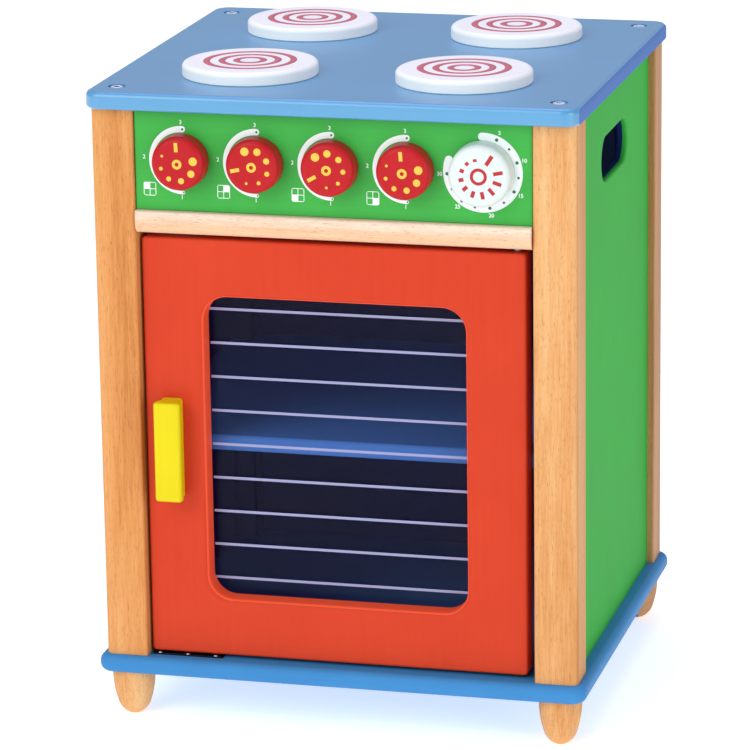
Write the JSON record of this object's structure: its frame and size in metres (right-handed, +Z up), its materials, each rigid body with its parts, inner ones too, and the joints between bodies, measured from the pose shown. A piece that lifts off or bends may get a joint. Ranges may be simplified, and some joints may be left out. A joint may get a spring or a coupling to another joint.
{
  "type": "toy oven",
  "caption": "Wooden play oven: posts, painted panels, hob top with burner discs, turning knobs and a side-hinged door with a smoked window.",
  "frame": {"origin": "on the floor, at the middle of the whole object's box", "axes": "+Z up, the door and knobs face -Y, +X to the viewer's right"},
  "size_m": [0.371, 0.3536, 0.489],
  "materials": {
    "blue_top": "satin blue paint",
    "blue_base": "satin blue paint",
    "green_side": "satin green paint",
    "green_panel": "satin green paint",
    "beech": "clear satin lacquer",
    "white_disc": "satin white paint with printed rings",
    "red_door": "satin red paint",
    "yellow_handle": "gloss yellow paint",
    "smoked_pane": "smoked clear sheet with printed lines",
    "zinc_screw": "zinc plated",
    "bright_bolt": "bright plated",
    "steel_pin": "ground",
    "nylon_bush": "moulded",
    "dark_plate": "dark lacquer",
    "magnet_nickel": "nickel plated",
    "red_knob": "gloss red paint with printed pointer",
    "white_knob": "gloss white paint with printed pointer"
  },
  "bodies": {
    "case": {"top_board": "blue_top", "base_board": "blue_base", "shelf": "blue_base", "back_panel": "blue_base", "side_panel_left": "green_side", "side_panel_right": "green_side", "control_panel": "green_panel", "post_front_left": "beech", "post_front_right": "beech", "post_back_left": "beech", "post_back_right": "beech", "foot_front_left": "beech", "foot_front_right": "beech", "foot_back_left": "beech", "foot_back_right": "beech", "front_rail": "beech", "shelf_cleat_left": "beech", "shelf_cleat_right": "beech", "front_dowels": "beech", "door_stop": "beech", "burner_disc_front_left": "white_disc", "burner_disc_front_right": "white_disc", "burner_disc_back_left": "white_disc", "burner_disc_back_right": "white_disc", "disc_screws": "zinc_screw", "cleat_screws": "zinc_screw", "catch_screws": "zinc_screw", "foot_studs": "zinc_screw", "top_bolts": "bright_bolt", "pivot_bush_top": "nylon_bush", "pivot_bush_bottom": "nylon_bush", "catch_plate": "dark_plate"},
    "door": {"door_frame": "red_door", "window_pane": "smoked_pane", "pane_screws": "zinc_screw", "door_handle": "yellow_handle", "handle_screws": "zinc_screw", "pivot_pin_top": "steel_pin", "pivot_pin_bottom": "steel_pin", "door_magnet": "magnet_nickel"},
    "knob_1_body": {"knob_1": "red_knob", "knob_1_spindle": "zinc_screw", "knob_1_washer": "zinc_screw"},
    "knob_2_body": {"knob_2": "red_knob", "knob_2_spindle": "zinc_screw", "knob_2_washer": "zinc_screw"},
    "knob_3_body": {"knob_3": "red_knob", "knob_3_spindle": "zinc_screw", "knob_3_washer": "zinc_screw"},
    "knob_4_body": {"knob_4": "red_knob", "knob_4_spindle": "zinc_screw", "knob_4_washer": "zinc_screw"},
    "timer_knob_body": {"timer_knob": "white_knob", "timer_knob_spindle": "zinc_screw", "timer_knob_washer": "zinc_screw"}
  },
  "joints": [
    {"name": "door_hinge", "type": "hinge", "parent": "case", "child": "door", "pos_m": [0.133, -0.14725, 0.0525], "axis": [0, 0, 1], "range_deg": [0, 100]},
    {"name": "knob_1_turn", "type": "hinge", "parent": "case", "child": "knob_1_body", "pos_m": [-0.111, -0.16175, 0.429], "axis": [0, -1, 0], "continuous": true},
    {"name": "knob_2_turn", "type": "hinge", "parent": "case", "child": "knob_2_body", "pos_m": [-0.0555, -0.16175, 0.429], "axis": [0, -1, 0], "continuous": true},
    {"name": "knob_3_turn", "type": "hinge", "parent": "case", "child": "knob_3_body", "pos_m": [0, -0.16175, 0.429], "axis": [0, -1, 0], "continuous": true},
    {"name": "knob_4_turn", "type": "hinge", "parent": "case", "child": "knob_4_body", "pos_m": [0.0555, -0.16175, 0.429], "axis": [0, -1, 0], "continuous": true},
    {"name": "timer_knob_turn", "type": "hinge", "parent": "case", "child": "timer_knob_body", "pos_m": [0.111, -0.16175, 0.429], "axis": [0, -1, 0], "continuous": true}
  ]
}
